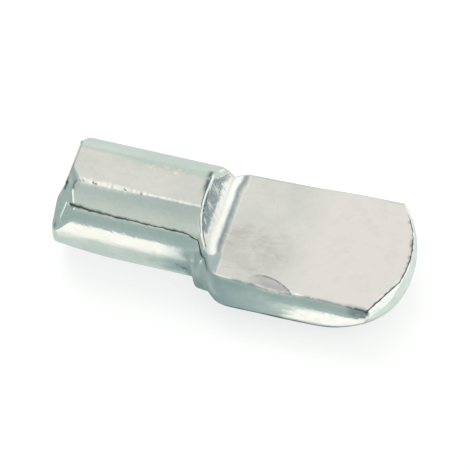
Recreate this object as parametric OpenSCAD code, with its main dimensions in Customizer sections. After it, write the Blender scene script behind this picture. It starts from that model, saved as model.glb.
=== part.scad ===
// Spoon shelf pin, cold pressed from one length of round steel wire and plated.
//
// The shank points along -X and goes into a drilled hole in the cabinet side. The paddle
// points along +X and carries the shelf on its flat top. The origin lies on the axis of the
// shank, below the crest where the shank ends and the neck drops to the paddle. Millimetres.

/* [Shank] */
// Diameter of the round underside, which fills the drilled hole
shank_d = 5; // [4.5:0.1:6]
// Length from the crest of the neck to the free end
shank_l = 6.5; // [5:0.1:12]
// Depth of the two ridges that the upper die leaves, below the circle of the underside
ridge_sink = 0.04; // [0.02:0.01:0.15]
// Width of the flat along the top
top_flat_w = 1.76; // [1.2:0.02:2]
// Width of the land along each ridge
ridge_w = 0.12; // [0.05:0.01:0.2]
// Width of each side flat, between its ridge and its seam
side_flat_w = 1.12; // [0.8:0.01:1.3]
// Width of the seam groove, where the two dies met
seam_w = 0.17; // [0.12:0.01:0.25]

/* [Free end] */
// Chamfer around the round underside
end_chamfer = 0.2; // [0.1:0.05:0.5]
// Length of the leading slope on the top flat
top_lead_l = 0.45; // [0.2:0.05:1]
// Lean of the top slope from square
top_lead_lean = 23; // [10:1:45]
// Length of the leading slope on the side flat towards -Y
near_lead_l = 0.8; // [0.2:0.05:1]
// Length of the leading slope on the side flat towards +Y
far_lead_l = 0.35; // [0.2:0.05:1]
// Turn of each side slope from straight ahead, seen from above
side_lead_turn = 48; // [35:1:60]
// Rise of the direction that each side slope faces
side_lead_rise = 35; // [20:1:45]

/* [Neck] */
// Lean of the neck wall from square
neck_lean = 19; // [5:1:25]
// Radius of the hollow at the foot of the neck wall
neck_r = 0.35; // [0.3:0.05:0.8]
// Depth of that hollow below the flat of the paddle
neck_dip = 0.025; // [0.02:0.005:0.1]
// Distance from the crest to the shoulders, which stop the pin at the mouth of its hole
shoulder_x = 0.1; // [0.05:0.05:0.3]
// Width across the shoulders, at the height of the flat
shoulder_w = 4.6; // [4.4:0.05:4.8]
// Length of the run-out from the round underside to the flat underside
run_out_l = 1.3; // [1:0.1:2]

/* [Paddle] */
// Length from the crest of the neck to the tip of the flat
paddle_l = 9.2; // [8:0.1:14]
// Width of the flat across the corners of the tip
paddle_w = 6.1; // [5.8:0.1:7.5]
// Width of the flat where the flare ends
root_w = 5.7; // [5.4:0.05:5.8]
// Thickness from the flat to the underside
paddle_t = 2.4; // [2:0.05:2.5]
// Height of the flat above the axis of the shank
face_z = 0.3; // [0:0.05:0.6]
// Distance from the crest to the end of the flare
flare_x = 1.1; // [1:0.05:1.8]
// Angle of the flare on each side
flare_angle = 30; // [20:1:40]
// Plan radius of the tip
tip_r = 4.9; // [4:0.1:8]

/* [Paddle walls] */
// Radius of the bulge of the two side walls
side_bulge_r = 1.65; // [1.5:0.05:2]
// Rise of the direction that a side wall faces where it meets the flat
side_edge_angle = 40; // [30:1:45]
// The same rise for the walls of the flare
flare_edge_angle = 35; // [28:1:40]
// Radius of the bulge of the tip wall
tip_bulge_r = 1.6; // [1.5:0.05:2.5]
// Rise of the direction that the tip wall faces where it meets the flat
tip_edge_angle = 25; // [15:1:40]
// Distance from the tip back to where the underside starts to round off
round_back = 3.7; // [3:0.05:4.5]
// Depth that the rounding takes off each side wall where it starts
round_trim = 0.14; // [0.1:0.01:0.3]
// Distance of its two centres from the middle plane, each on the side away from its arc
round_shift = 0.6; // [0.2:0.05:0.8]
// Radius at which it turns under
round_edge_r = 1.2; // [0.8:0.05:1.5]
// Lean of its wall, outwards as it rises to the corners of the flat
round_lean = 37; // [30:1:42]

/* [Hidden] */
$fn = 96;

shank_r = shank_d / 2;
ridge_r = shank_r - ridge_sink;
top_flat_z = sqrt(pow(ridge_r, 2) - pow(top_flat_w / 2, 2));
side_flat_h = sqrt(pow(ridge_r, 2) - pow(side_flat_w / 2, 2));

// Angles round the shank, from level on the +Y side up to the top
ridge_angle = 90 - asin(top_flat_w / 2 / ridge_r);
side_flat_half = asin(side_flat_w / 2 / ridge_r);
side_flat_angle = ridge_angle - 2 * asin(ridge_w / 2 / ridge_r) - side_flat_half;
seam_angle = side_flat_angle - side_flat_half - asin(seam_w / 2 / shank_r);

// The neck hollow is a circle that dips below the flat and touches the leaning wall
neck_z = face_z - neck_dip + neck_r;
neck_x = (top_flat_z - neck_z) * tan(neck_lean) + neck_r / cos(neck_lean);

bottom_z = face_z - paddle_t;
// What ends inside another surface stops this far from it
tuck = 0.03;
corner_x = paddle_l - tip_r + sqrt(pow(tip_r, 2) - pow(paddle_w / 2, 2));
taper_angle = atan((paddle_w - root_w) / 2 / (corner_x - flare_x));
run_out_r = -bottom_z - tuck;
side_bulge = side_bulge_r * (1 - cos(side_edge_angle));
round_r = paddle_w / 2 + side_bulge - round_trim + round_shift;

// Thicker than the paddle, so that only its flat and its underside end it
over_t = paddle_t + 2;
// Larger than anything that it cuts or crosses
beyond = 2 * (shank_l + paddle_l);

// Turns a drawing in the plane across the pin into a solid that runs along +X
module along_x(length) {
    rotate([90, 0, 90])
        linear_extrude(length)
            children();
}

// Everything above the line through [0, height], facing the angle round the shank
module above_flat(angle, height) {
    rotate(angle - 90)
        translate([-beyond / 2, height])
            square([beyond, beyond]);
}

// The sector above the two seams
module seam_sector() {
    polygon([
        [0, 0],
        [beyond * cos(seam_angle), beyond * sin(seam_angle)],
        [-beyond * cos(seam_angle), beyond * sin(seam_angle)],
    ]);
}

// Section of the shank: round below the seams, three flats and two ridges above them
module shank_section() {
    difference() {
        union() {
            circle(ridge_r);
            difference() {
                circle(shank_r);
                seam_sector();
            }
        }
        above_flat(90, top_flat_z);
        for (angle = [side_flat_angle, 180 - side_flat_angle])
            above_flat(angle, side_flat_h);
        for (angle = [seam_angle, 180 - seam_angle])
            rotate(angle)
                translate([(shank_r + ridge_r) / 2, 0])
                    circle(seam_w / 2);
    }
}

// A block that lies beyond a sloping face at the free end. The face passes through the
// given point, looks along -X turned to one side, and rises
module end_slope(point, turn, rise) {
    translate(point)
        rotate([0, 0, turn])
            rotate([0, rise, 0])
                translate([-beyond, -beyond / 2, -beyond / 2])
                    cube(beyond);
}

module shank() {
    side_reach = side_flat_h * cos(side_flat_angle);
    side_rise = side_flat_h * sin(side_flat_angle);
    difference() {
        translate([-shank_l, 0, 0]) {
            intersection() {
                along_x(shank_l + shoulder_x) shank_section();
                // Turned by half a facet, so that its facets cross those of the section and leave no slivers
                rotate([0, 90, 0])
                    rotate(180 / $fn)
                        cylinder(h = beyond, r1 = shank_r - end_chamfer, r2 = shank_r - end_chamfer + beyond);
            }
        }
        end_slope([top_lead_l - shank_l, 0, top_flat_z], 0, top_lead_lean);
        end_slope([near_lead_l - shank_l, -side_reach, side_rise], side_lead_turn, side_lead_rise);
        end_slope([far_lead_l - shank_l, side_reach, side_rise], -side_lead_turn, side_lead_rise);
    }
}

// Round body under the neck, which runs out into the flat underside
module run_out() {
    translate([shoulder_x, 0, 0])
        rotate([0, 90, 0])
            cylinder(h = run_out_l, r1 = shank_r - tuck, r2 = run_out_r);
}

// Drawing of a plate that ends in a bulging wall. The wall passes through the origin, the
// edge of the flat, where it faces up by the angle
module bulging_edge(bulge_r, edge_angle) {
    translate([-bulge_r * cos(edge_angle), -bulge_r * sin(edge_angle)]) {
        circle(bulge_r);
        translate([-beyond, -beyond / 2])
            square([beyond, beyond]);
    }
}

// Half plate whose bulging wall passes through a point of the flat's outline
module wall_through(x, y, turn, edge_angle = side_edge_angle) {
    translate([x, y, face_z])
        rotate([0, 0, turn])
            translate([-beyond / 2, 0, 0])
                along_x(beyond) bulging_edge(side_bulge_r, edge_angle);
}

// Slab from the underside to the flat, which starts at the shoulders
module paddle_slab(length) {
    translate([shoulder_x, -beyond / 2, bottom_z])
        cube([length, beyond, paddle_t]);
}

// Metal pressed out beside the neck. Its walls run straight until the flare is wider
module shoulders() {
    intersection() {
        for_both_sides() wall_through(0, shoulder_w / 2, 0);
        paddle_slab(flare_x);
    }
}

// Disc whose rim is the tip wall
module tip_disc() {
    translate([paddle_l - tip_r, 0, face_z])
        rotate_extrude()
            intersection() {
                translate([tip_r, 0])
                    bulging_edge(tip_bulge_r, tip_edge_angle);
                translate([0, (over_t - paddle_t) / 2 - over_t])
                    square([beyond, over_t]);
            }
}

// Drawing of the rounded underside's rim: turned under at its foot, leaning out above it
module round_rim() {
    centre = [round_r - round_edge_r, bottom_z + round_edge_r - tuck];
    foot = centre + round_edge_r * [cos(round_lean), -sin(round_lean)];
    lean = [tan(round_lean), 1];
    translate(centre)
        intersection() {
            circle(round_edge_r);
            translate([0, -beyond])
                square([beyond, beyond - round_edge_r * sin(round_lean)]);
        }
    translate([0, centre.y - round_edge_r])
        square([centre.x, round_edge_r]);
    polygon([
        [0, foot.y],
        foot,
        foot + over_t * lean,
        [0, foot.y + over_t],
    ]);
}

// Keeps the lower part of the paddle round at its end and leaves the flat its corners
module rounded_underside() {
    for_both_sides()
        translate([paddle_l - round_back, -round_shift, 0])
            rotate_extrude() round_rim();
    translate([paddle_l - round_back - beyond, -beyond / 2, -beyond / 2])
        cube(beyond);
}

module paddle() {
    intersection() {
        for_both_sides() wall_through(corner_x, paddle_w / 2, taper_angle);
        for_both_sides() wall_through(flare_x, root_w / 2, flare_angle, flare_edge_angle);
        tip_disc();
        rounded_underside();
        paddle_slab(beyond);
    }
}

// What lies on both sides of the middle plane
module for_both_sides() {
    intersection() {
        children();
        mirror([0, 1, 0]) children();
    }
}

// Cut above the flat: a leaning wall from the crest, the hollow at its foot, then the flat
module above_the_flat() {
    touch = [neck_x, neck_z] - neck_r * [cos(neck_lean), sin(neck_lean)];
    top = touch + shank_d * [-sin(neck_lean), cos(neck_lean)];
    rotate([90, 0, 0])
        translate([0, 0, -beyond / 2])
            linear_extrude(beyond) {
                translate([neck_x, neck_z])
                    circle(neck_r);
                polygon([
                    touch,
                    top,
                    [beyond, top.y],
                    [beyond, face_z],
                    [neck_x, face_z],
                ]);
            }
}

module support_pin() {
    color([0.8, 0.82, 0.79])
        difference() {
            union() {
                shank();
                run_out();
                shoulders();
                paddle();
            }
            above_the_flat();
        }
}

support_pin();
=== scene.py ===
"""A plated steel shelf pin, lying on a pale table: its pressed skin, its finish, the light and the camera."""

import bpy
import numpy as np
from mathutils import Matrix, Vector


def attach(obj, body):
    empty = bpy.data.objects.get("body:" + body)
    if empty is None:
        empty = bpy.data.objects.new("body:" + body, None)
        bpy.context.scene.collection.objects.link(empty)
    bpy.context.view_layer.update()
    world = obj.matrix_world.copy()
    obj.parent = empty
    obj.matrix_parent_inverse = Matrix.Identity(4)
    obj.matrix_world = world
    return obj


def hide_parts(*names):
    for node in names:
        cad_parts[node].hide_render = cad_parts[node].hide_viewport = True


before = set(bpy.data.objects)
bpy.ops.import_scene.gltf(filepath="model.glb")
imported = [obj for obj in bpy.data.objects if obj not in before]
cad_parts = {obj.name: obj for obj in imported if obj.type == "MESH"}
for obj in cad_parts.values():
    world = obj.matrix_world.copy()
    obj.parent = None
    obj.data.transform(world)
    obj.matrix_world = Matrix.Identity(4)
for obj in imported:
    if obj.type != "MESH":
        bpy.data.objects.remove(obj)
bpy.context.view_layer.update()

MM = 0.001

# ---------------------------------------------------------------- sizes of the pin, in millimetres and degrees
# The axis of the shank is X. The shank runs to -X and the paddle to +X, the flat faces up, and -Y is the near side.

SHANK_R = 2.5
SHANK_L = 6.5
SHANK_INSIDE = 1.6           # how far the shank runs on inside the paddle
SHANK_NARROWS = 0.33         # how fast it narrows past its shoulder
TOP_Z = 2.297                # height of the flat along the top
SIDE_TURN = 53.1             # direction that a side flat faces, up from level
SIDE_H = 2.395               # distance of a side flat from the axis
SIDE_DISH = 0.022            # how far a side flat is hollow in its middle
SIDE_HALF_W = 0.56           # from the middle of a side flat to its edge
NEAR_RIDGE = 0.06, 0.17      # rounding of the ridge beside the top flat, by the neck and by the end
FAR_RIDGE = 0.26, 0.11

SEAM_TURN = 37.6             # place of the seam round the shank, up from level
SEAM_W, SEAM_DEPTH = 0.042, 0.03
FAR_SEAM_DROP = 7.0          # how much lower the far seam lies

END_ROUND = 0.10
END_CHAMFER = 0.2
CHAMFER_ROUND = 0.14
LOW_TURN = 36.0              # direction of the slope low on the near side, down from level
LOW_START, LOW_SLOPE = -4.4, 0.1
LEAD_TURN = 36.0             # place round the shank that the leads of the side flats start from, up from level
LEAD_Y, LEAD_Z = SIDE_H * np.cos(np.radians(LEAD_TURN)), SIDE_H * np.sin(np.radians(LEAD_TURN))
LEADS = (                    # run-in along the axis, turn towards -Y, rise, and the y and z that it starts from
    (0.45, 0, 23, 0, TOP_Z),
    (0.50, 36, 56, -0.35, TOP_Z),
    (0.80, 48, 35, -LEAD_Y, LEAD_Z),
    (0.35, -48, 35, LEAD_Y, LEAD_Z),
)
BURR = (-5.88, -1.76, 1.42), (-6.05, -2.15, 0.85), 0.09     # start, end and width
BURR_HEIGHT = 0.04

NECK_X = 0.02                # where the neck wall starts, at the height of the flat along the top
NECK_LEAN = 17.2             # lean of the neck wall from upright
NECK_R = 0.9                 # hollow that carries the wall over into the flat
NECK_FILLET = 0.08           # fillet between shank and paddle
SHOULDER_X, SHOULDER_W = 0.1, 4.6

FACE_Z = 0.3
PADDLE_L = 9.2
PADDLE_W = 6.14
ROOT_W = 5.68
PADDLE_T = 2.4
FLARE_X = 0.9
FLARE, FLARE_EDGE = 42.0, 27.0
ROOT_SWELL = 0.09            # how much further the waist of the paddle stands out by its root
TIP_R = 4.9
SIDE_BULGE, SIDE_EDGE = 1.65, 40.0
TIP_BULGE, TIP_EDGE = 1.6, 25.0
BEVEL_TURN, BEVEL_RISE = -26.4, 40.0    # direction of the bevel on the near half of the tip's edge
BEVEL_IN = 0.06              # how far the bevel cuts in
OFF_MIDDLE = 0.07            # how far the root of the paddle lies off the middle, towards -Y

# the rounded foot under the paddle: distance of its centre from the tip, what it is trimmed by, the shift of its
# centre across, its rounding, and the lean of its upper part
FOOT_BACK, FOOT_TRIM, FOOT_SHIFT, FOOT_ROUND, FOOT_LEAN = 3.7, 0.14, 0.6, 1.2, 37.0

DENT_X, DENT_Y, DENT_SLANT = 3.75, -1.96, 0.3       # the dent's middle lies at y = DENT_Y - DENT_SLANT * x
DENT_L, DENT_W, DENT_DEPTH = 1.1, 0.62, 0.045
EDGE_ROUND = 0.045           # least rounding of the edges of flat and neck wall

BOTTOM_Z = FACE_Z - PADDLE_T
TIP_X = PADDLE_L - TIP_R
CORNER_X = TIP_X + np.sqrt(TIP_R ** 2 - (PADDLE_W / 2) ** 2)
TAPER = (PADDLE_W - ROOT_W) / 2 / (CORNER_X - FLARE_X)


# ---------------------------------------------------------------- formulas for shapes

def deg_dir(angle):
    """Cosine and sine of an angle in degrees."""
    return np.cos(np.radians(angle)), np.sin(np.radians(angle))


def fade(t, start, end, low=0.0, high=1.0):
    """A smooth step from low at start to high at end, whichever of the two is larger."""
    t = np.clip((t - start) / (end - start), 0, 1)
    return low + (high - low) * t * t * (3 - 2 * t)


def spot(t, wide):
    """1 where t is 0, falling to 0 on both sides within about twice wide."""
    return np.exp(-(t / wide) ** 2)


def soft_max(a, b, k):
    """The larger of two distances, raised near their tie: rounds a convex edge over about k."""
    h = np.maximum(k - np.abs(a - b), 0) / k
    return np.maximum(a, b) + h * h * k / 4


def soft_min(a, b, k):
    """The smaller of two distances, lowered near their tie: fills a corner with a fillet of about k."""
    return -soft_max(-a, -b, k)


def waver(t, size, *pitches):
    """A wandering line: the mean of sines of the given pitches in millimetres, times size."""
    return size * sum(np.sin(2 * np.pi * t / pitch + 7 * pitch) for pitch in pitches) / len(pitches)


def near_line(x, y, z, start, end, wide):
    """1 on the straight line from start to end and 0 beside it."""
    start, end = np.array(start), np.array(end)
    run = end - start
    point = np.stack(np.broadcast_arrays(x, y, z), axis=-1) - start
    share = np.clip(point @ run / (run @ run), 0, 1)
    return spot(np.linalg.norm(point - share[..., None] * run, axis=-1), wide)


# ---------------------------------------------------------------- the form of the pin

def seam_turn(x, y):
    """Where the seam lies round the shank, in degrees up from level. It drops down the neck to the paddle's root."""
    drop = fade(x, -0.6, 0.1, 0, 4) + fade(x, 0.1, 0.46, 0, 20) + fade(x, 0.4, 0.9, 0, 8)
    return SEAM_TURN - FAR_SEAM_DROP * (y > 0) + fade(x, -2.8, -6.2, 0, 2.2) - drop


def seam_line(x, y, z):
    """1 along the seam between the two dies and 0 beside it."""
    step = 0.01
    slope = np.radians(seam_turn(x + step, y) - seam_turn(x - step, y)) * SHANK_R / (2 * step)
    off = np.degrees(np.arctan2(z, np.abs(y))) - seam_turn(x, y) - waver(x, 0.8, 2.9, 1.3, 0.61, 0.29)
    off = np.radians(off) * SHANK_R / np.sqrt(1 + slope ** 2)
    wide = SEAM_W + fade(x, -2.8, -4.3, 0, 0.022) + waver(x, 0.022, 2.3, 1.1, 0.43)
    return spot(off, wide) * fade(x, 0.84, 0.64) * fade(x, -5.85, -5.75) * (z > 0)


def shank_body(x, y, z):
    """Distance outside the shank: a round bar, cut by the flat along its top and a hollow flat on each side, with
    rounded ridges between them, a chamfered end, a slope low on its near side, and sloped leads at the end."""
    bar = np.hypot(y, z) - SHANK_R + SHANK_NARROWS * np.maximum(x - SHOULDER_X, 0)
    c, s = deg_dir(SIDE_TURN)
    across = z * c - np.abs(y) * s
    side = np.abs(y) * c + z * s - SIDE_H + SIDE_DISH * (1 - (across / SIDE_HALF_W) ** 2)
    near = fade(x, -2.2, -3.7, *NEAR_RIDGE) + waver(x, 0.035, 0.9, 0.41, 0.23)
    far = fade(x, -0.5, -6.0, *FAR_RIDGE) + waver(x, 0.03, 3.7, 2.3)
    ridge = near + (far - near) * fade(y, 0, 0.9)
    body = soft_max(soft_max(bar, side, 0.05), z - TOP_Z, ridge)
    body = soft_max(body, -SHANK_L - x, END_ROUND)
    cone = (np.hypot(y, z) - (SHANK_R - END_CHAMFER) - (x + SHANK_L)) * np.sqrt(0.5)
    body = soft_max(body, cone, CHAMFER_ROUND)
    c, s = deg_dir(LOW_TURN)
    body = soft_max(body, -y * c - z * s - SHANK_R - LOW_SLOPE * (x - LOW_START), 0.08)
    for run_in, turned, rise, start_y, start_z in LEADS:
        ct, st = deg_dir(turned)
        cr, sr = deg_dir(rise)
        slope = -cr * ct * (x - run_in + SHANK_L) - cr * st * (y - start_y) + sr * (z - start_z)
        body = soft_max(body, slope, 0.06)
    body = body - BURR_HEIGHT * near_line(x, y, z, *BURR)
    return soft_max(body, x - SHANK_INSIDE, 0.1)


def off_middle(x):
    """How far the paddle lies off the middle, towards -Y. It comes back to the middle before the tip."""
    return OFF_MIDDLE * fade(x, 6.2, 3.7) * fade(x, 0, 0.8)


def past_side(x, wide):
    """Distance outside the long edge of the flat, seen from above."""
    return wide - ROOT_W / 2 - TAPER * (x - FLARE_X)


def past_bevel(x, y):
    """Distance outside the line that bounds the near half of the tip, seen from above."""
    c, s = deg_dir(BEVEL_TURN)
    return (x - CORNER_X) * c + (y + PADDLE_W / 2) * s


def bulging_wall(off, edge, bulge, z):
    """Distance outside a wall of the given bulge that faces up by edge where it meets the flat. off is the
    distance outside that meeting line, seen from above."""
    c, s = deg_dir(edge)
    return np.hypot(np.maximum(off + bulge * c, 0), z - FACE_Z + bulge * s) - bulge


def foot_body(x, wide, z):
    """Distance outside the rounded foot: a rounding along the bottom edge, and a leaning wall above it."""
    bulge = SIDE_BULGE * (1 - deg_dir(SIDE_EDGE)[0])
    round_r = PADDLE_W / 2 + bulge - FOOT_TRIM + FOOT_SHIFT
    rho = np.hypot(np.maximum(x - PADDLE_L + FOOT_BACK, 0), wide + FOOT_SHIFT)
    dr, dz = rho - round_r + FOOT_ROUND, z - BOTTOM_Z - FOOT_ROUND
    c, s = deg_dir(FOOT_LEAN)
    lean = dr * c - dz * s - FOOT_ROUND
    curl = np.hypot(np.maximum(dr, 0), np.minimum(dz, 0)) - FOOT_ROUND
    return np.where(dz * c < -dr * s, curl, lean)


def paddle_body(x, y, z):
    """Distance outside the paddle: bulging side walls that flare out of the shoulders, a bulging round tip with a
    bevel on its near half, and a rounded foot under it."""
    y = y + off_middle(x)
    wide = np.abs(y)
    swell = ROOT_SWELL * fade(x, 3.6, 1.4) * fade(z, 0, -0.7)
    wall = bulging_wall(past_side(x, wide) - swell, SIDE_EDGE, SIDE_BULGE, z)
    c, s = deg_dir(FLARE)
    flare = bulging_wall((wide - ROOT_W / 2) * c - (x - FLARE_X) * s, FLARE_EDGE, SIDE_BULGE, z)
    tip = bulging_wall(np.hypot(np.maximum(x - TIP_X, 0), y) - TIP_R, TIP_EDGE, TIP_BULGE, z)
    c, s = deg_dir(BEVEL_RISE)
    tip = soft_max(tip, (past_bevel(x, y) + BEVEL_IN) * c + (z - FACE_Z) * s, 0.04)
    body = soft_max(soft_max(wall, flare, 0.16), tip, 0.05)
    body = soft_max(body, foot_body(x, wide, z), 0.25)
    shoulder = soft_max(bulging_wall(wide - SHOULDER_W / 2, SIDE_EDGE, SIDE_BULGE, z), x - FLARE_X, 0.1)
    body = soft_max(soft_min(body, shoulder, 0.12), BOTTOM_Z - z, 0.35)
    # the front is a flat cone that falls back towards its rim
    front = SHOULDER_X - x + 0.4 * (np.hypot(y, z) - 2.9)
    return soft_max(body, front, 0.10)


def dent_mark(x, y):
    """1 in the middle of the dent on the near edge of the flat, falling smoothly to 0 at its rim."""
    along = (x - DENT_X) / DENT_L
    across = (y + DENT_SLANT * x - DENT_Y) / DENT_W
    return fade(x, 2.5, 3.6) * fade(along ** 2 + across ** 2, 1, 0)


def neck_cut(x, y, z):
    """How far a point lies in the air above the flat and in front of the neck wall: below 0 is metal.

    The wall leans back to its crest and its ends sweep a little towards the tip. A circle touches the
    wall and the flat, and the metal fills the corner outside it.
    """
    lean = np.radians(NECK_LEAN)
    sweep = 0.05 * (y / 0.9) ** 2 * fade(z, 2.0, 2.25) + fade(np.abs(y), 1.4, 2.3, 0, 0.08)
    x = x - NECK_X - sweep
    wall = (x - (TOP_Z - z) * np.tan(lean)) * np.cos(lean)
    flat = z - FACE_Z + DENT_DEPTH * dent_mark(x, y)
    centre_z = FACE_Z + NECK_R
    dx = (TOP_Z - centre_z) * np.tan(lean) + NECK_R / np.cos(lean) - x
    dz = centre_z - z
    facing = np.arctan2(dz, dx)
    hollow = NECK_R - np.hypot(dx, dz)
    return np.where((facing > lean) & (facing < np.pi / 2), hollow, np.minimum(wall, flat))


def pin_body(x, y, z):
    """Distance outside the pin: shank and paddle fused, less the seams and what the neck wall and the flat cut
    away. The edge of that cut is rounder at the crest, by the tip and along the near edge of the flat."""
    body = soft_min(shank_body(x, y, z), paddle_body(x, y, z), NECK_FILLET) + SEAM_DEPTH * seam_line(x, y, z)
    crest = fade(z, 0.5, 0.9, 0, 0.10) * fade(np.abs(y), 1.9, 1.4, 1.0, 1.7)
    tip = fade(x, 7.0, 7.8, 0, 0.04)
    near = (0.05 + waver(x, 0.04, 0.7, 0.31)) * fade(x, 2.9, 3.3) * fade(x, 5.3, 4.9) * (y < 0)
    return soft_max(body, neck_cut(x, y, z), EDGE_ROUND + crest + tip + near)


def outward(x, y, z, step=0.001):
    """The direction in which pin_body grows fastest, which is square to the skin."""
    slope = np.stack([
        pin_body(x + step, y, z) - pin_body(x - step, y, z),
        pin_body(x, y + step, z) - pin_body(x, y - step, z),
        pin_body(x, y, z + step) - pin_body(x, y, z - step),
    ], axis=-1)
    return slope / np.linalg.norm(slope, axis=-1, keepdims=True)


# ---------------------------------------------------------------- the grid of rays

BACK_X = -5.2                # point on the axis from which the slices of the shank's end lean back
FAR_OUT = 9.0                # a length that is outside the pin on every ray
HALVINGS = 34
RIM_BELOW, RIM_INSIDE = 0.12, 0.10      # the band of close columns along the edge of the flat


def spread(*stretches):
    """Joins stretches (start, end, count) of evenly spaced values into one list, each end said once."""
    parts = [np.linspace(a, b, n, endpoint=False) for a, b, n in stretches]
    return np.concatenate(parts + [[stretches[-1][1]]])


def pin_grid():
    """Rows are slices from the end of the shank to the tip, columns go round from the bottom over the +Y side.

    A slice of the shank's end leans back from a point on the axis, the slices of the tip fan out from
    the centre of its arc, and all others stand square on the axis. Each column's angle follows the seam
    and the ridge along the shank and the edge of the flat along the paddle. The ray of each row and
    column runs out to where pin_body is zero, found by halving.
    """
    back = np.radians(spread((90, 34, 16), (34, 6, 56), (6, 0, 4)))
    along = spread((BACK_X, -0.2, 40), (-0.2, 1.2, 116), (1.2, TIP_X, 36))[1:]
    fan = np.radians(spread((0, 49, 48), (49, 56, 16), (56, 90, 44))[1:])
    rows = len(back) + len(along) + len(fan)
    phi = np.concatenate([back, np.zeros(rows - len(back))])
    psi = np.concatenate([np.zeros(rows - len(fan)), fan])
    x0 = np.concatenate([np.full(len(back), BACK_X), along, np.full(len(fan), TIP_X)])
    z0 = fade(x0, -0.4, 1.3, 0, -0.9)
    # angles of the half columns along the shank, and along the paddle for each row
    on_shank = spread((-90, 34.2, 32), (34.2, 41, 20), (41, 65.4, 20), (65.4, 70.2, 12), (70.2, 90, 24))
    side = (ROOT_W / 2 + TAPER * (x0 - FLARE_X)) / np.maximum(np.cos(psi) - TAPER * np.sin(psi), 1e-9)
    edge = np.where(psi > 0, np.minimum(side, TIP_R), side)
    rise = FACE_Z - z0
    low = np.degrees(np.arctan2(rise - RIM_BELOW, edge))[:, None]
    high = np.degrees(np.arctan2(rise, edge - RIM_INSIDE))[:, None]
    under = -90 + (low + 90) * np.linspace(0, 1, 48, endpoint=False)
    rim = low + (high - low) * np.linspace(0, 1, 20, endpoint=False)
    inward = (edge - RIM_INSIDE)[:, None] * (1 - np.linspace(0, 1, 41))
    over = np.degrees(np.arctan2(rise[:, None], inward))
    on_paddle = np.concatenate([under, rim, over], axis=1)
    half = on_shank + (on_paddle - on_shank) * fade(x0, -0.1, 1.1)[:, None]
    theta = np.radians(np.concatenate([half, half[:, -2:0:-1]], axis=1))
    top = half.shape[1] - 1
    sign = np.concatenate([np.ones(top + 1), -np.ones(top - 1)])
    phi, psi, x0, z0 = phi[:, None], psi[:, None], x0[:, None], z0[:, None]
    dx = -np.sin(phi) + np.cos(phi) * np.cos(theta) * np.sin(psi)
    dy = np.cos(phi) * np.cos(theta) * np.cos(psi) * sign
    dz = np.cos(phi) * np.sin(theta)
    inner, outer = np.zeros(dx.shape), np.full(dx.shape, FAR_OUT)
    for _ in range(HALVINGS):
        t = (inner + outer) / 2
        inside = pin_body(x0 + t * dx, t * dy, z0 + t * dz) < 0
        inner, outer = np.where(inside, t, inner), np.where(inside, outer, t)
    t = (inner + outer) / 2
    points = np.stack([x0 + t * dx, t * dy, z0 + t * dz], axis=-1)
    # the pole of the end, the poles of the tip's fan, and the tip's last slice, where both sides meet
    ids = np.arange(rows * 2 * top).reshape(rows, 2 * top)
    ids[0, :] = ids[0, 0]
    first = rows - len(fan) - 1
    ids[first:, 0] = ids[first, 0]
    ids[first:, top] = ids[first, top]
    ids[-1, top + 1:] = ids[-1, top - 1:0:-1]
    return points, ids


# ---------------------------------------------------------------- marks on the skin

# the first two mark painted shade, on the near corner facet at the shank's end and by the paddle's root; the nicks
# are real marks
END_CORNER_SHADE = (-6.0, -0.15, 2.28), (-5.75, -0.95, 2.2), 0.25      # start, end and width of each
ROOT_SHADE_PATCH = (-0.2, -2.43, 0.56), (0.4, -2.3, 0.72), 0.3
NICKS = (
    ((-5.73, -1.0, 2.24), (-5.76, -1.28, 2.02), 0.06),
    ((-6.09, -1.0, 2.0), (-6.16, -1.2, 1.74), 0.05),
    ((-6.36, -2.3, 0.5), (-6.34, -2.32, 0.36), 0.06),
    ((-0.72, -2.48, -0.24), (-0.36, -2.46, -0.36), 0.06),
)
TIP_NICK = (8.13, -3.05, 0.28), (8.08, -3.3, -0.5)      # its width wavers


def root_shade_mark(x, y, z):
    """Above 0 where the metal is painted darker, as painted shade, and made rougher: round the paddle's root, beside
    the foot of the neck wall, and on the near corner of the top flat at the shank's end."""
    root = fade(x, -0.45, -0.15) * fade(x, 1.5, 1.1) * fade(z, 1.1, 0.7) * fade(y, -1.3, -1.8)
    wedge = fade(1.2 * x - y, 2.91, 3.11) * fade(x, 1.3, 0.9)
    root = root * np.maximum(fade(z, FACE_Z + 0.02, FACE_Z - 0.04), wedge)
    corner = near_line(x, y, z, *END_CORNER_SHADE) * fade(z, 2.293, 2.283) * (x < -5.5)
    patch = 1.3 * near_line(x, y, z, *ROOT_SHADE_PATCH) * (z > 0.35)
    return np.clip(root + corner + patch, 0, 1.3)


def tip_rim_shade(x, y, z):
    """1 on the uneven dark line round the flat's edge at the tip: painted shade on its rounded edge."""
    round_tip = np.hypot(np.maximum(x - TIP_X, 0), y) - TIP_R
    outside = np.maximum(round_tip, past_bevel(x, y)) + 0.05 + waver(y, 0.025, 1.3, 0.57, 0.31)
    wide = 0.028 + 0.02 * fade(y, -0.6, 0.6) * fade(y, 1.7, 1.1) + waver(y, 0.012, 0.9, 0.37)
    return spot(outside, wide) * (z > FACE_Z - 0.07) * fade(x, 7.0, 7.3) * fade(y, 2.7, 2.2)


def near_edge_shade(x, y, z):
    """Above 0 on two stretches of the flat's near edge that are painted dark: painted shade that dims the rounded
    edge there.
    """
    stretches = 0.6 * fade(x, 1.8, 2.1) * fade(x, 3.2, 2.8)
    stretches = stretches + 0.65 * fade(x, 5.0, 5.4) * fade(x, CORNER_X, CORNER_X - 0.2)
    return spot(past_side(x, -y - off_middle(x)) + 0.01, 0.05) * spot(z - FACE_Z, 0.08) * stretches


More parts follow.
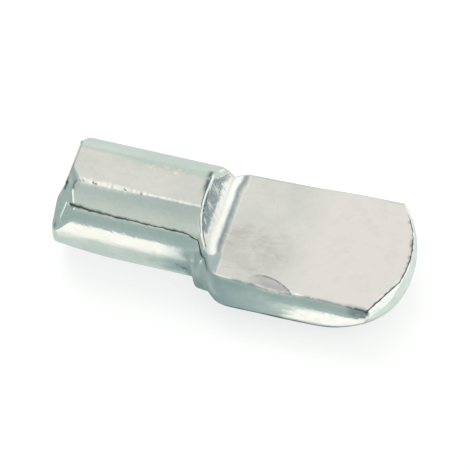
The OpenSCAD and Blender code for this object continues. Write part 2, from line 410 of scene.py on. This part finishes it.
def dirt_and_shade_mark(x, y, z, cut, deep):
    """1 where the skin is darkened: painted shade under and over the crest, painted dark lines at the rim of the
    shank's end, round the tip's rim and on stretches of the flat's near edge, and dirt in the nicks, at the corner
    and the rolled edge of the tip."""
    # painted shade under the crest, on the neck wall, and on the flat over it
    shade_under_crest = cut * (z > 0.9) * spot(deep - 0.15, 0.05) * fade(y, 0.4, -0.2) * fade(y, -2.4, -2.1)
    shade_over_crest = (z > 2.0) * spot(x + 0.12, 0.09) * fade(y, -0.5, 0.3) * fade(y, 1.4, 1.1)
    # painted shade: dark lines along the edges of the shank's end
    end = spot(x + SHANK_L - 0.42 * z / TOP_Z, 0.05) * (z > 1.9)
    end = end + spot(x + SHANK_L, 0.05) * (z > -1.5) * (z < 1.4) * fade(np.hypot(y, z), 2.1, 2.22)
    nicks = sum(near_line(x, y, z, *nick) for nick in NICKS)
    nicks = nicks + near_line(x, y, z, *TIP_NICK, 0.05 + waver(z, 0.02, 0.4, 0.23))
    corner = spot(np.hypot(x - CORNER_X, y + PADDLE_W / 2), 0.07) * spot(z - FACE_Z, 0.2)
    rolled = fade(x, 7.0, 7.5) * fade(x, CORNER_X, CORNER_X - 0.1) * fade(y, -2.82, -3.02) * fade(z, -0.15, 0.05)
    dirt_and_shade = 1.2 * shade_under_crest + 0.9 * shade_over_crest + 0.8 * end + nicks + corner + 0.5 * rolled
    return np.clip(dirt_and_shade + tip_rim_shade(x, y, z) + near_edge_shade(x, y, z), 0, 1)


def surface_marks(x, y, z):
    """Where the finish changes, and where shade is painted: painted shade in the seam, on the sides of the neck and
    round the paddle's root; down the neck wall, in its hollow, along the near ridge; and where dirt and painted
    shade sit."""
    # the sides of the neck, below the flat and beside the neck wall, get painted shade and more roughness
    beside = fade(z, FACE_Z - 0.05, FACE_Z - 0.20) * fade(x, -0.4, 0.2) + fade(z, 1.3, 0.7) * fade(x, 0, -0.2)
    cut = neck_cut(x, y, z) > -0.03
    deep = -shank_body(x, y, z)
    return {
        "seam": seam_line(x, y, z),
        "neck_sides_shade": np.clip(beside, 0, 1) * fade(x, -1.6, -0.6) * fade(x, 3.2, 1.6) * fade(y, 0.5, 0),
        "root": root_shade_mark(x, y, z),
        "wall": cut * fade(deep, 0.05, 0.10) * fade(x, 0.62, 0.42) * fade(z, 0.5, 0.7),
        "hollow": cut * fade(x, 0.45, 0.55) * fade(x, 1.15, 1.05) * fade(z, FACE_Z, FACE_Z + 0.02),
        "ridge": spot(np.hypot(y + 0.93, z - 2.27), 0.07) * (x < 0),
        "dirt_and_shade": dirt_and_shade_mark(x, y, z, cut, deep),
    }


def closed_mesh(name, points, ids):
    """Two triangles for each cell of the grid, without those that a pole shrinks to a line."""
    a, b = ids[:-1], ids[1:]
    a2, b2 = np.roll(a, -1, axis=1), np.roll(b, -1, axis=1)
    tri = np.concatenate([
        np.stack([a, b2, b], axis=-1).reshape(-1, 3),
        np.stack([a, a2, b2], axis=-1).reshape(-1, 3),
    ])
    keep = (tri[:, 0] != tri[:, 1]) & (tri[:, 1] != tri[:, 2]) & (tri[:, 2] != tri[:, 0])
    used, tri = np.unique(tri[keep], return_inverse=True)
    tri = tri.reshape(-1, 3)
    verts = points.reshape(-1, 3)[used]
    mesh = bpy.data.meshes.new(name)
    mesh.vertices.add(len(verts))
    mesh.vertices.foreach_set("co", (verts * MM).ravel())
    mesh.loops.add(tri.size)
    mesh.loops.foreach_set("vertex_index", tri.ravel().astype(np.int32))
    mesh.polygons.add(len(tri))
    mesh.polygons.foreach_set("loop_start", np.arange(0, tri.size, 3, dtype=np.int32))
    mesh.polygons.foreach_set("use_smooth", np.ones(len(tri), bool))
    mesh.update(calc_edges=True)
    mesh.validate()
    mesh.normals_split_custom_set_from_vertices(outward(*verts.T))
    for label, values in surface_marks(*verts.T).items():
        mesh.attributes.new(label, "FLOAT", "POINT").data.foreach_set("value", values.astype(np.float32))
    piece = bpy.data.objects.new(name, mesh)
    bpy.context.scene.collection.objects.link(piece)
    return piece


# ---------------------------------------------------------------- finishes

# colours of the plating, of what lies on it, and of the shade painted on it
COOL_PLATE = (0.80, 0.83, 0.80, 1)
WARM_PLATE = (0.88, 0.885, 0.86, 1)
GRAINY_PLATE = (0.72, 0.74, 0.73, 1)
DULL_PLATE = (0.73, 0.74, 0.715, 1)
SMUDGED_PLATE = (0.61, 0.615, 0.60, 1)
WALL_PLATE = (0.72, 0.77, 0.755, 1)
BRIGHT_PLATE = (0.95, 0.935, 0.915, 1)
WARM_SPECK = (1.0, 0.93, 0.86, 1)
# painted shade inside the dent and on its rim
DENT_SHADE = (0.57, 0.575, 0.59, 1)
DENT_RIM_SHADE = (0.30, 0.34, 0.38, 1)
# painted shade on the sides of the neck
NECK_SIDES_SHADE = (0.60, 0.68, 0.69, 1)
# painted shade round the paddle's root
ROOT_SHADE = (0.52, 0.60, 0.60, 1)
PIT = (0.16, 0.18, 0.17, 1)
# painted shade in the seam's groove
SEAM_SHADE = (0.04, 0.065, 0.06, 1)
# dirt, and painted shade
DIRT_AND_PAINTED_SHADE = (0.10, 0.14, 0.16, 1)
ROLLED_PLATE = (0.72, 0.79, 0.76, 1)

# the table's colour as the metal shows it, and the share of it that is its own glow there and to the camera
PALE_PAPER = (0.64, 0.73, 0.68, 1)
CLEAR_PAPER = (0.84, 0.90, 0.86, 1)
LIT_PAPER = (1.22, 1.19, 1.12, 1)
DIM_PAPER = (0.36, 0.47, 0.46, 1)
SHADED_PAPER = (0.12, 0.16, 0.18, 1)
WHITE_PAPER = (1.21, 1.21, 1.21, 1)
DIFFUSE_PAPER = (0.92, 0.92, 0.92, 1)
GLOW_SHARE = (0.85, 0.6)

# the room's colour at each height in degrees, for its sides
TOP_LIGHT = (76, (1.05, 1.03, 0.97))
BACK_WALL = (
    (-10, (0.66, 0.74, 0.69)), (40, (0.64, 0.71, 0.66)), (49, (0.79, 0.78, 0.735)), (60, (0.80, 0.785, 0.745)),
    TOP_LIGHT)
RIGHT_WALL = (
    (-5, (1.15, 1.15, 1.1)), (29, (1.2, 1.2, 1.15)), (32, (0.34, 0.43, 0.47)), (38, (0.22, 0.30, 0.33)),
    (47, (0.36, 0.46, 0.46)), (54, (0.8, 0.8, 0.76)), TOP_LIGHT)
RIGHT_EDGE = ((45, (0.9, 0.88, 0.84)), (60, (0.88, 0.86, 0.82)), TOP_LIGHT)
LEFT_LIGHT = (
    (18, (0.38, 0.49, 0.47)), (24, (1.15, 1.12, 1.02)), (48, (1.15, 1.12, 1.02)), (54, (0.6, 0.65, 0.6)),
    TOP_LIGHT)
FRONT_WALL = (
    (-10, (0.37, 0.47, 0.45)), (16, (0.38, 0.49, 0.47)), (30, (0.50, 0.58, 0.55)), (48, (0.50, 0.57, 0.55)),
    (55, (0.61, 0.67, 0.62)), (62, (0.61, 0.68, 0.63)), TOP_LIGHT)
# each side over the back wall, with the middle of its sector of the compass and the half widths at which it is
# whole and gone
SIDES = (
    (RIGHT_EDGE, 76, 3, 9),
    (RIGHT_WALL, 22, 45, 52),
    (FRONT_WALL, 254, 60, 100),
    (LEFT_LIGHT, 225, 7, 14),
)


class Nodes:
    """Short words for building a node tree: each call adds nodes and joins their inputs."""

    def __init__(self, tree):
        self.tree = tree
        tree.nodes.clear()

    def add(self, kind, inputs=(), **settings):
        """A node of the given kind, with its inputs joined or set."""
        node = self.tree.nodes.new(kind)
        for key, value in settings.items():
            setattr(node, key, value)
        for key, value in dict(inputs).items():
            socket = node.inputs[key]
            if isinstance(value, bpy.types.NodeSocket):
                self.tree.links.new(value, socket)
            else:
                socket.default_value = value
        return node

    def math(self, operation, *values):
        """Arithmetic on numbers."""
        return self.add("ShaderNodeMath", dict(enumerate(values)), operation=operation).outputs[0]

    def times(self, first, *others):
        """The product of numbers."""
        for other in others:
            first = self.math("MULTIPLY", first, other)
        return first

    def vector(self, operation, *values):
        """Arithmetic on vectors."""
        return self.add("ShaderNodeVectorMath", dict(enumerate(values)), operation=operation).outputs["Vector"]

    def fade(self, value, start, end, low=0.0, high=1.0):
        """A smooth step from low at start to high at end, whichever of the two is larger."""
        if start > end:
            start, end, low, high = end, start, high, low
        return self.add("ShaderNodeMapRange", {
            "Value": value, "From Min": start, "From Max": end, "To Min": low, "To Max": high},
            interpolation_type="SMOOTHSTEP").outputs["Result"]

    def mix(self, amount, a, b):
        """Colour a turning into colour b."""
        return self.add("ShaderNodeMix", {"Factor": amount, "A": a, "B": b}, data_type="RGBA").outputs["Result"]

    def millimetres(self):
        """The place on the object, in millimetres."""
        place = self.add("ShaderNodeTexCoord").outputs["Object"]
        return self.add("ShaderNodeMapping", {"Vector": place, "Scale": [1 / MM] * 3}).outputs["Vector"]


def plated_steel():
    """Bright plating: clouded and grainy, dull or brighter by place on the flat, with warm specks, painted shade in
    the dent and on its rim, pits along the ridge, and the marks of surface_marks in tint and roughness, where much
    of the tint is painted shade."""
    mat = bpy.data.materials.new("plated_steel")
    mat.use_nodes = True
    n = Nodes(mat.node_tree)
    mm = n.millimetres()
    x, y, z = n.add("ShaderNodeSeparateXYZ", {0: mm}).outputs

    def mark(label):
        """How strong a mark is here."""
        return n.add("ShaderNodeAttribute", attribute_name=label).outputs["Fac"]

    def spots(scale, stretch=(1, 1, 1)):
        """Cloudy noise, so many to the millimetre."""
        where = n.add("ShaderNodeMapping", {"Vector": mm, "Scale": stretch}).outputs["Vector"]
        noise = n.add("ShaderNodeTexNoise", {"Vector": where, "Scale": scale, "Detail": 3.0, "Roughness": 0.6})
        return noise.outputs["Fac"]

    def oval(centre, radii):
        """Distance from a point as a share of the radii of an oval round it."""
        shares = [1 / r for r in radii]
        where = n.add("ShaderNodeMapping", {
            "Vector": mm, "Location": [-c * k for c, k in zip(centre, shares)], "Scale": shares}).outputs["Vector"]
        return n.add("ShaderNodeVectorMath", {0: where}, operation="LENGTH").outputs["Value"]

    # the seam, neck-side and root marks tint painted shade; the dirt mark tints dirt and painted shade
    seam, neck_sides_shade, root, dirt_and_shade = mark("seam"), mark("neck_sides_shade"), mark("root"), mark("dirt_and_shade")
    cloud = n.fade(spots(0.55, stretch=(0.7, 1, 1)), 0.34, 0.66)
    grain = spots(4.5)
    ripple = spots(1.7)
    on_flat = n.fade(z, 0.215, 0.235)
    dull = n.times(n.fade(oval((2.4, -1.2, FACE_Z), (3.0, 1.9, 0.5)), 1.0, 0.3), n.fade(ripple, 0.35, 0.6, 0.4, 1.0))
    smudge = n.times(dull, n.fade(spots(1.5, stretch=(0.6, 1.6, 1)), 0.52, 0.68, 0.0, 0.7))
    walls = n.times(n.fade(z, 0.22, 0.1), n.fade(spots(2.4, stretch=(0.8, 1, 1.2)), 0.45, 0.65, 0.0, 0.6))
    bright = n.times(n.fade(x, 3.4, 5.6), on_flat, n.fade(ripple, 0.3, 0.6, 0.6, 1.0))
    dots = n.fade(n.add("ShaderNodeTexVoronoi", {"Vector": mm, "Scale": 3.4}).outputs["Distance"], 0.48, 0.22)
    warm = n.times(n.fade(oval((-1.8, 0.62, TOP_Z), (1.5, 0.30, 0.4)), 1.0, 0.4), dots)

    across = n.times(n.math("SUBTRACT", n.math("MULTIPLY_ADD", x, DENT_SLANT, y), DENT_Y), 1 / DENT_W)
    along = n.times(n.math("SUBTRACT", x, DENT_X), 1 / DENT_L)
    dent = n.math("SQRT", n.math("ADD", n.times(across, across), n.times(along, along)))
    # painted shade inside the dent and along its rim
    dent_shade_mask = n.times(n.fade(dent, 1.0, 0.85), n.fade(x, 2.4, 3.5), on_flat)
    dent_rim_shade_mask = n.times(n.fade(dent, 1.04, 0.99), n.fade(dent, 0.82, 0.96), n.fade(x, 2.7, 3.3, 0.15, 1.0), on_flat)

    pits = n.times(mark("ridge"), n.fade(x, -1.6, -3.2), n.fade(spots(5.5), 0.56, 0.62))
    rolled = n.times(n.fade(x, 7.6, 8.0), n.fade(z, 0.22, 0.12))
    rolled = n.times(rolled, n.fade(spots(1.6, stretch=(0.5, 0.9, 2.6)), 0.42, 0.62))

    base = n.mix(cloud, COOL_PLATE, WARM_PLATE)
    for amount, colour in (
        (n.fade(grain, 0.52, 0.72, 0.0, 0.35), GRAINY_PLATE),
        (dull, DULL_PLATE),
        (smudge, SMUDGED_PLATE),
        (walls, WALL_PLATE),
        (bright, BRIGHT_PLATE),
        (warm, WARM_SPECK),
        (dent_shade_mask, DENT_SHADE),
        (n.times(dent_rim_shade_mask, n.fade(grain, 0.35, 0.55, 0.6, 1.0)), DENT_RIM_SHADE),
        # painted shade on the sides of the neck
        (n.times(neck_sides_shade, n.fade(ripple, 0.3, 0.6, 0.55, 1.0)), NECK_SIDES_SHADE),
        # painted shade round the paddle's root
        (root, ROOT_SHADE),
        (pits, PIT),
        # painted shade in the seam's groove
        (n.times(seam, n.fade(spots(0.9), 0.3, 0.5, 0.75, 1.0)), SEAM_SHADE),
        # dirt, and painted shade
        (n.times(dirt_and_shade, n.fade(spots(2.6), 0.32, 0.5, 0.45, 1.0)), DIRT_AND_PAINTED_SHADE),
        (rolled, ROLLED_PLATE),
    ):
        base = n.mix(amount, base, colour)

    streak = n.times(mark("wall"), n.fade(spots(1.0, stretch=(0.5, 5.5, 0.9)), 0.56, 0.62))
    end_face = n.fade(x, 0.06 - SHANK_L, 0.01 - SHANK_L)
    rough = n.fade(grain, 0.3, 0.7, 0.08, 0.14)
    for amount, more in (
            (neck_sides_shade, 0.12), (mark("hollow"), 0.12), (root, 0.28), (seam, 0.35), (end_face, 0.26), (streak, 0.36)):
        rough = n.math("MULTIPLY_ADD", amount, more, rough)
    bump = n.add("ShaderNodeBump", {"Height": ripple, "Strength": 0.5, "Distance": 0.00002}).outputs["Normal"]
    bump = n.add("ShaderNodeBump", {"Height": grain, "Strength": 0.4, "Distance": 0.00001, "Normal": bump})
    skin = n.add("ShaderNodeBsdfPrincipled", {
        "Base Color": base, "Metallic": 1.0, "Roughness": rough, "Normal": bump.outputs["Normal"]})
    n.add("ShaderNodeOutputMaterial", {"Surface": skin.outputs["BSDF"]})
    return mat


def table_paper():
    """White to the camera, with the pin's shadow. To the metal it is pale, lit beside the shank and by the tip, dim
    in front of the paddle's root and further off, and dark under the paddle."""
    mat = bpy.data.materials.new("table_paper")
    mat.use_nodes = True
    n = Nodes(mat.node_tree)
    mm = n.millimetres()
    # the borders of the zones waver by about a millimetre
    uneven = n.add("ShaderNodeTexNoise", {"Vector": mm, "Scale": 0.7, "Detail": 2.0}).outputs["Color"]
    uneven = n.vector("SUBTRACT", uneven, (0.5, 0.5, 0.5))
    mm = n.vector("MULTIPLY_ADD", uneven, (2.4, 2.4, 0), mm)
    x, y, _ = n.add("ShaderNodeSeparateXYZ", {0: mm}).outputs

    def slanted(slant):
        """x, shifted by slant for each millimetre of y."""
        return n.math("MULTIPLY_ADD", y, slant, x)

    by_shank = n.times(
        n.fade(slanted(-0.2), 0.8, 0.1), n.fade(y, -4.0, -7.0),
        n.fade(n.math("SUBTRACT", y, x), -13.2, -11.2), n.fade(x, -11.0, -9.5))
    by_tip = n.times(n.fade(slanted(0.05), 3.2, 4.2), n.fade(y, -3.4, -4.2), n.fade(y, -19.0, -15.0))
    by_end = n.times(n.fade(x, -7.2, -8.0), n.fade(y, -1.0, 0.5), n.fade(y, 7.0, 5.5))
    lit = n.math("MAXIMUM", n.math("MAXIMUM", by_shank, by_tip), by_end)
    by_root = n.times(n.fade(x, -3.6, -0.4), n.fade(slanted(-0.12), 5.0, 3.0))
    far = n.math("MAXIMUM", n.fade(y, -13.0, -16.0), n.fade(x, -10.0, -13.0))
    dim = n.times(n.fade(y, -2.0, -3.2), n.math("MAXIMUM", by_root, far))
    below = n.times(n.fade(y, -3.2, -2.85), n.fade(y, 3.2, 2.85), n.fade(x, 0.2, 0.8), n.fade(x, 8.4, 7.6))

    shown = n.mix(n.fade(x, 8.8, 10.4), PALE_PAPER, CLEAR_PAPER)
    for amount, colour in ((dim, DIM_PAPER), (lit, LIT_PAPER), (below, SHADED_PAPER)):
        shown = n.mix(amount, shown, colour)
    path = n.add("ShaderNodeLightPath").outputs
    glow = n.add("ShaderNodeEmission", {"Color": n.mix(path["Is Camera Ray"], shown, WHITE_PAPER), "Strength": 1.0})
    paper = n.add("ShaderNodeBsdfDiffuse", {"Color": DIFFUSE_PAPER})
    seen = n.math("MAXIMUM", path["Is Glossy Ray"], path["Is Transmission Ray"])
    share = n.math("MAXIMUM", n.times(seen, GLOW_SHARE[0]), n.times(path["Is Camera Ray"], GLOW_SHARE[1]))
    whole = n.add("ShaderNodeMixShader", {0: share, 1: paper.outputs[0], 2: glow.outputs[0]})
    n.add("ShaderNodeOutputMaterial", {"Surface": whole.outputs[0]})
    return mat


def room_light():
    """The room by direction: a ramp by height for each of its sides, blended round the compass, and plain white to
    the camera."""
    world = bpy.data.worlds.new("studio")
    world.use_nodes = True
    n = Nodes(world.node_tree)
    toward = n.add("ShaderNodeTexCoord").outputs["Generated"]
    x, y, z = n.add("ShaderNodeSeparateXYZ", {0: toward}).outputs
    height = n.add("ShaderNodeMapRange", {
        "Value": n.math("ARCSINE", z), "From Min": -np.pi / 2, "From Max": np.pi / 2}).outputs["Result"]
    compass = n.math("ARCTAN2", y, x)

    def ramp(steps):
        """The colour at each height, blended from step to step."""
        node = n.add("ShaderNodeValToRGB", {"Fac": height})
        stops = node.color_ramp.elements
        while len(stops) < len(steps):
            stops.new(0.5)
        for stop, (elevation, colour) in zip(stops, steps):
            stop.position = (elevation + 90) / 180
            stop.color = (*colour, 1)
        return node.outputs["Color"]

    def sector(centre, full, end):
        """How far a direction lies in a sector of the compass, from 1 within full degrees to 0 at end."""
        turn = n.math("COSINE", n.math("SUBTRACT", compass, np.radians(centre)))
        return n.fade(turn, np.cos(np.radians(end)), np.cos(np.radians(full)))

    colour = ramp(BACK_WALL)
    for steps, centre, full, end in SIDES:
        colour = n.mix(sector(centre, full, end), colour, ramp(steps))
    colour = n.mix(n.add("ShaderNodeLightPath").outputs["Is Camera Ray"], colour, (1, 1, 1, 1))
    room = n.add("ShaderNodeBackground", {"Color": colour, "Strength": 1.0})
    n.add("ShaderNodeOutputWorld", {"Surface": room.outputs[0]})
    return world


# ---------------------------------------------------------------- the pin

points, ids = pin_grid()
pin = closed_mesh("pressed_pin", points, ids)
pin.data.materials.append(plated_steel())
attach(pin, "root")
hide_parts("support_pin")

# ---------------------------------------------------------------- table, light and camera

FLOOR_Z = -SHANK_R * MM
TABLE_SIZE = 4               # in metres, as the window's sizes are
WINDOW_PLACE = (-0.25, 0.30, 0.60)
WINDOW_SIZE, WINDOW_POWER = 0.5, 1.6

AZIMUTH, ELEVATION, ROLL = 17.0, 53.0, -1.1
DISTANCE = 350.0
VIEW_W, PER_MM = 470, 22.75  # width of the view in dots, and dots to a millimetre of the pin
ACROSS = VIEW_W / PER_MM     # width of the view at the pin, in millimetres
AIM_RIGHT, AIM_DOWN = 1.182, 0.585      # where the camera aims, from the origin
SENSOR = 36

bpy.ops.mesh.primitive_plane_add(size=TABLE_SIZE, location=(0, 0, 0))
table = bpy.context.object
table.name = "table"
table.data.transform(Matrix.Translation((0, 0, FLOOR_Z)))
table.data.materials.append(table_paper())

bpy.context.scene.world = room_light()
lamp = bpy.data.lights.new("window", "AREA")
lamp.shape, lamp.size, lamp.energy = "SQUARE", WINDOW_SIZE, WINDOW_POWER
window = bpy.data.objects.new("window", lamp)
window.location = WINDOW_PLACE
window.rotation_euler = window.location.to_track_quat("Z", "Y").to_euler()
window.visible_glossy = False
bpy.context.scene.collection.objects.link(window)

azimuth, elevation, roll = np.radians([AZIMUTH, ELEVATION, ROLL])
toward = Vector((np.sin(azimuth) * np.cos(elevation), -np.cos(azimuth) * np.cos(elevation), np.sin(elevation)))
level = Vector((np.cos(azimuth), np.sin(azimuth), 0))
upright = toward.cross(level)
right = level * np.cos(roll) + upright * np.sin(roll)
up = upright * np.cos(roll) - level * np.sin(roll)
aim = right * AIM_RIGHT - up * AIM_DOWN
eye = bpy.data.cameras.new("camera")
eye.sensor_width = SENSOR
eye.lens = SENSOR * DISTANCE / ACROSS
eye.clip_start = 0.01
camera = bpy.data.objects.new("camera", eye)
bpy.context.scene.collection.objects.link(camera)
turned = Matrix((right, up, toward)).transposed().to_4x4()
camera.matrix_world = Matrix.Translation((aim + toward * DISTANCE) * MM) @ turned
bpy.context.scene.camera = camera

bpy.context.scene.view_settings.view_transform = "Standard"
